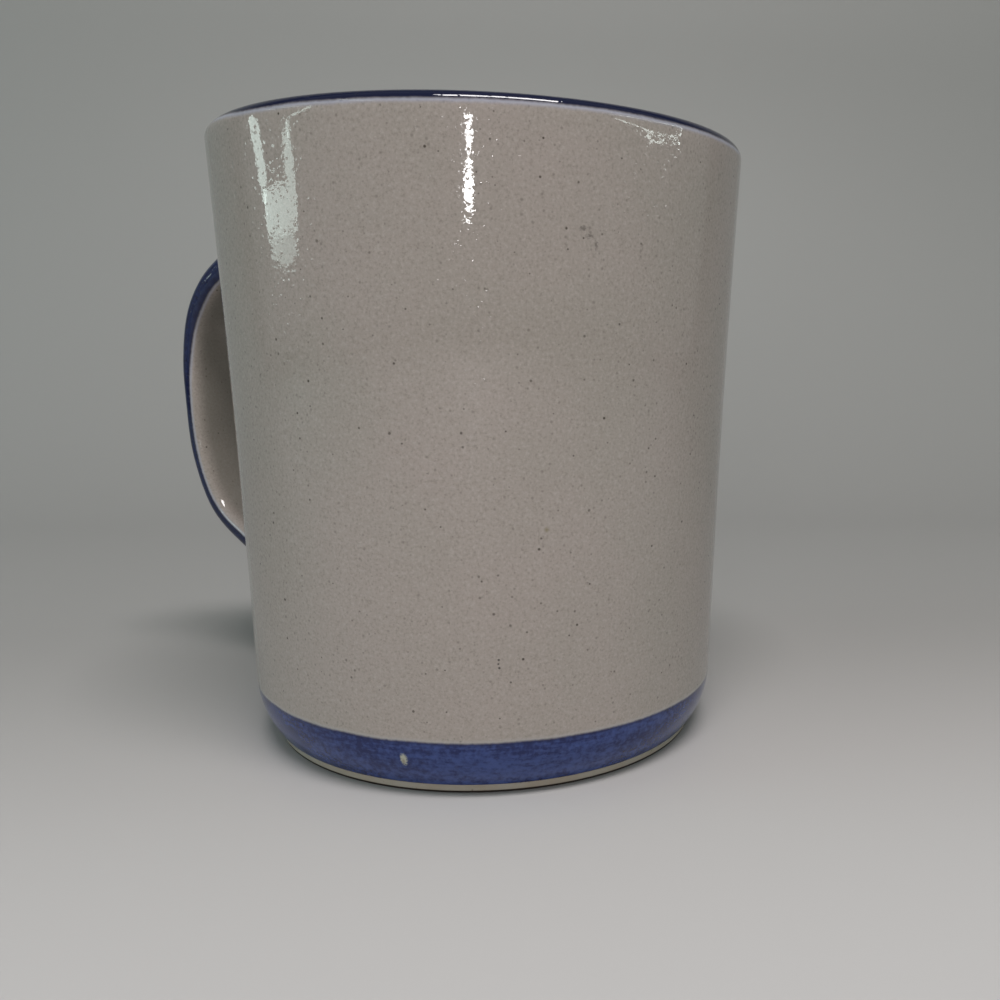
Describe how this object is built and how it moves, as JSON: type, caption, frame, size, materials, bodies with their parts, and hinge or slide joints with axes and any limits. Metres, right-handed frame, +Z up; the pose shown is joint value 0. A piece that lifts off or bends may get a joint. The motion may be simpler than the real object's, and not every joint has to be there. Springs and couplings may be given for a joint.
{
  "type": "mug",
  "caption": "Glazed stoneware mug with a flared round cup, a strap handle, a speckled beige glaze, and brushed cobalt bands at rim and foot.",
  "frame": {"origin": "centre of the foot ring's standing plane, on the cup's axis", "axes": "+Z up along the cup's axis, +X from the axis towards the handle"},
  "size_m": [0.1117, 0.0834, 0.095],
  "materials": {
    "stoneware": "bare fired stoneware, matt and slightly gritty",
    "speckled_glaze": "glossy beige-grey glaze with fine iron specks and pinholes",
    "cobalt_glaze": "brushed cobalt blue under a glossy clear glaze"
  },
  "bodies": {
    "root": {"clay_body": "stoneware", "clay_handle": "stoneware", "upper_slip_joint": "speckled_glaze", "lower_slip_joint": "speckled_glaze", "outer_glaze": "speckled_glaze", "inner_glaze": "speckled_glaze", "base_glaze": "speckled_glaze", "rim_band": "cobalt_glaze", "foot_band": "cobalt_glaze", "handle_glaze": "speckled_glaze", "handle_stripe": "cobalt_glaze"}
  },
  "joints": []
}
